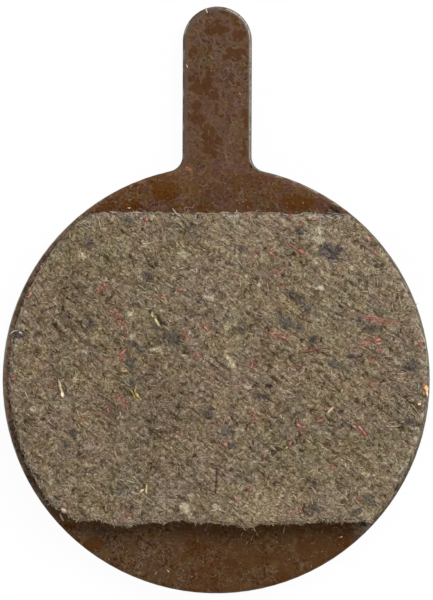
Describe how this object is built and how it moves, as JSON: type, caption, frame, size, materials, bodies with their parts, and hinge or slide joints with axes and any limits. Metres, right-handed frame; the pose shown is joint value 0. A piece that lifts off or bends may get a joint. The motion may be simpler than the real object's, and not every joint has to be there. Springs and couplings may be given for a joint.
{
  "type": "bicycle disc brake pad",
  "caption": "Round bicycle disc brake pad: a stamped steel backing plate with a finger tab, coated with brown bonding resin and carrying a moulded fibre friction lining.",
  "frame": {"origin": "centre of the disc on the backing plate's back face, which the brake piston pushes on", "axes": "+Z out of the lining's rubbing face towards the rotor, +Y along the finger tab, +X to the right seen from the lining's side"},
  "size_m": [0.021, 0.0288, 0.0039],
  "materials": {
    "plate_steel": "bare blanked steel, dull grey, burnished at the rolled edge",
    "bonding_resin": "brown cured resin, satin, mottled and slightly crinkled",
    "friction_material": "matt pressed fibre compound, olive brown with red, blue, cream and brass flecks"
  },
  "bodies": {
    "root": {"backing_plate": "plate_steel", "adhesive_film": "bonding_resin", "friction_lining": "friction_material"}
  },
  "joints": []
}
